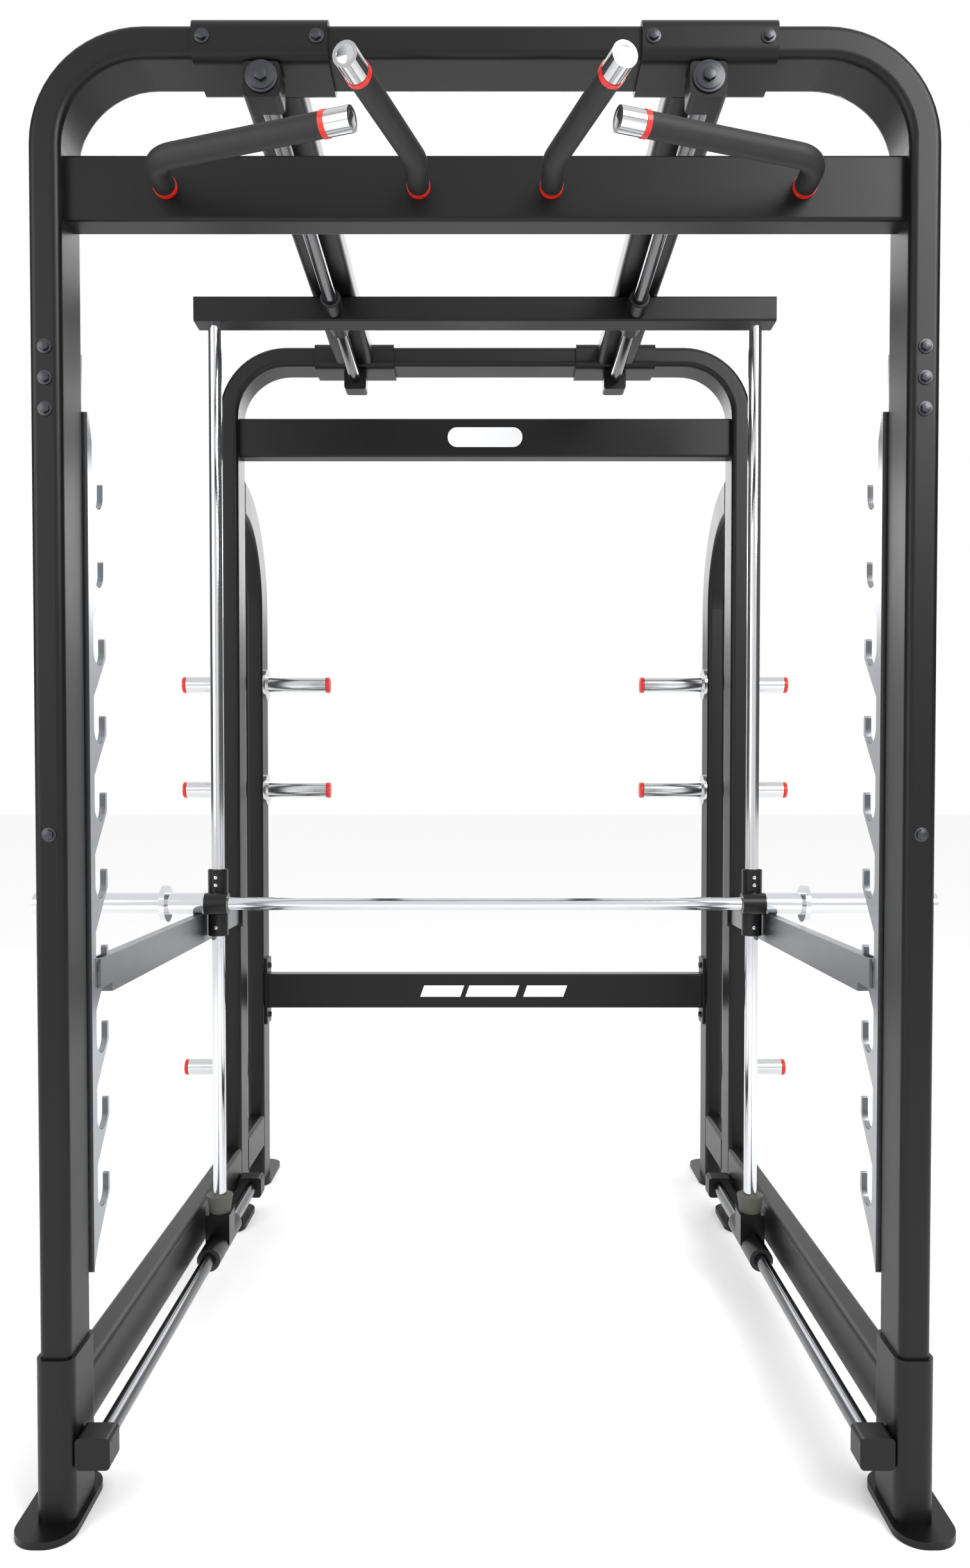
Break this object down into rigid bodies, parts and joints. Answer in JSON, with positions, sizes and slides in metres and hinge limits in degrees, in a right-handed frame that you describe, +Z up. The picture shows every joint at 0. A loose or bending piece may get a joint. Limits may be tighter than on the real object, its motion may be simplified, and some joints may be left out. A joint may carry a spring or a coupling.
{
  "type": "smith machine",
  "caption": "Smith machine: two tubular arches, a sliding carriage on polished rails, a guided bar, catch racks, chin-up handles and weight pegs.",
  "frame": {"origin": "centre of the bounding box's footprint, on the floor under the feet", "axes": "+X to the viewer's right facing the front, +Y from the front arch to the rear legs, +Z up"},
  "size_m": [2.06, 2.1322, 2.367],
  "materials": {
    "black_powder_coat": "satin black powder coat",
    "chromed_shaft": "hard chrome, ground and polished",
    "horn_chrome": "bright chrome plate",
    "rack_steel": "polished steel plate",
    "arm_steel": "grey plated steel",
    "bearing_black": "semi-gloss black enamel",
    "grip_rubber": "fine textured rubber",
    "bumper_rubber": "matt moulded rubber",
    "red_plastic": "moulded red plastic",
    "badge_white": "plain white plate",
    "bolt_zinc": "dark zinc plate"
  },
  "bodies": {
    "frame": {"front_frame": "black_powder_coat", "rear_frame": "black_powder_coat", "left_rear_leg": "black_powder_coat", "right_rear_leg": "black_powder_coat", "left_base_beam": "black_powder_coat", "right_base_beam": "black_powder_coat", "left_top_beam": "black_powder_coat", "right_top_beam": "black_powder_coat", "rear_base_beams": "black_powder_coat", "pull_up_crossbar": "black_powder_coat", "rear_upper_crossbar": "black_powder_coat", "rear_lower_crossbar": "black_powder_coat", "front_saddles": "black_powder_coat", "rear_saddles": "black_powder_coat", "front_sockets": "black_powder_coat", "front_feet": "black_powder_coat", "middle_feet": "black_powder_coat", "rear_feet": "black_powder_coat", "top_rail_supports": "black_powder_coat", "bottom_rail_supports": "black_powder_coat", "arm_hangers": "black_powder_coat", "badge": "badge_white", "left_top_rail": "chromed_shaft", "right_top_rail": "chromed_shaft", "left_bottom_rail": "chromed_shaft", "right_bottom_rail": "chromed_shaft", "rail_end_washers": "bolt_zinc", "left_catch_rack": "rack_steel", "right_catch_rack": "rack_steel", "left_spotter_arm": "arm_steel", "right_spotter_arm": "arm_steel", "inner_left_handle": "horn_chrome", "inner_right_handle": "horn_chrome", "outer_left_handle": "horn_chrome", "outer_right_handle": "horn_chrome", "inner_grips": "grip_rubber", "outer_grips": "grip_rubber", "handle_end_caps": "horn_chrome", "handle_rings": "red_plastic", "outer_horns": "horn_chrome", "inner_horns": "horn_chrome", "horn_end_caps": "red_plastic", "frame_bolts": "bolt_zinc"},
    "carriage": {"carriage_crossbar": "black_powder_coat", "top_bearing_housings": "bearing_black", "left_guide_rod": "chromed_shaft", "right_guide_rod": "chromed_shaft", "left_lower_carriage": "bearing_black", "right_lower_carriage": "bearing_black", "guide_bumpers": "bumper_rubber"},
    "sliders": {"left_bar_slider": "bearing_black", "right_bar_slider": "bearing_black", "bar_bearings": "bearing_black"},
    "barbell": {"bar": "chromed_shaft", "left_sleeve": "chromed_shaft", "right_sleeve": "chromed_shaft"}
  },
  "joints": [
    {"name": "carriage_slide", "type": "slide", "parent": "frame", "child": "carriage", "axis": [0, 1, 0], "range_m": [-0.615, 0.24]},
    {"name": "bar_lift", "type": "slide", "parent": "carriage", "child": "sliders", "axis": [0, 0, 1], "range_m": [0, 1.25]},
    {"name": "bar_spin", "type": "hinge", "parent": "sliders", "child": "barbell", "pos_m": [0, 0.06808, 0.92], "axis": [1, 0, 0], "continuous": true}
  ]
}
